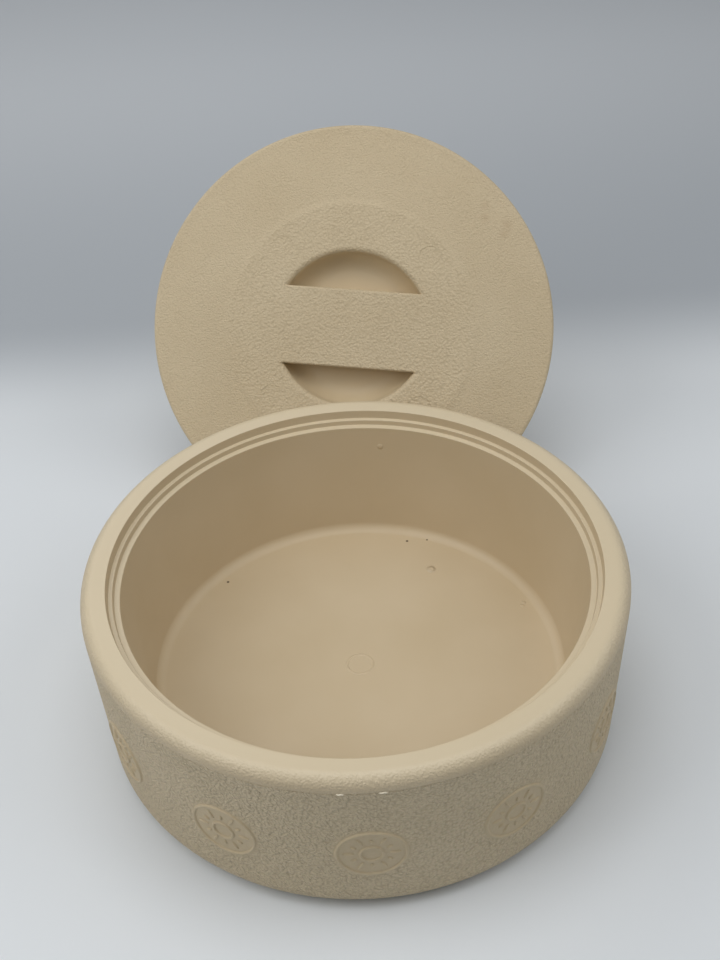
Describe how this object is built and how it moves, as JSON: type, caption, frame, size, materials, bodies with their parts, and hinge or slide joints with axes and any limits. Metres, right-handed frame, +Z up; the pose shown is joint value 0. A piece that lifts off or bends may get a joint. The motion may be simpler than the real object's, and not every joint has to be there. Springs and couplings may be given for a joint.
{
  "type": "tortilla warmer",
  "caption": "Squat round insulated bowl with a rolled rim and stepped lid seat, and a flush drop-in lid with finger wells either side of a grip bar, standing open beside it.",
  "frame": {"origin": "centre of the bowl's flat base, on the table", "axes": "+Z up along the bowl's axis, +X to the right, the lid stands behind at +Y"},
  "size_m": [0.24, 0.3684, 0.175],
  "materials": {
    "liner_plastic": "smooth satin moulding, fine matt on the rim",
    "shell_plastic": "coarse leather-like moulded grain",
    "cover_plastic": "fine moulded grain, coarser on the central field",
    "tray_plastic": "smooth satin moulding",
    "foam": "closed-cell insulating foam, hidden"
  },
  "bodies": {
    "bowl": {"bowl_liner": "liner_plastic", "bowl_shell": "shell_plastic", "bowl_foam": "foam"},
    "lid": {"lid_cover": "cover_plastic", "lid_tray": "tray_plastic", "lid_foam": "foam"}
  },
  "joints": [
    {"name": "lid_lift", "type": "slide", "parent": "bowl", "child": "lid", "axis": [0.0757, 0.5829, 0.809], "range_m": [0, 0.13]}
  ]
}
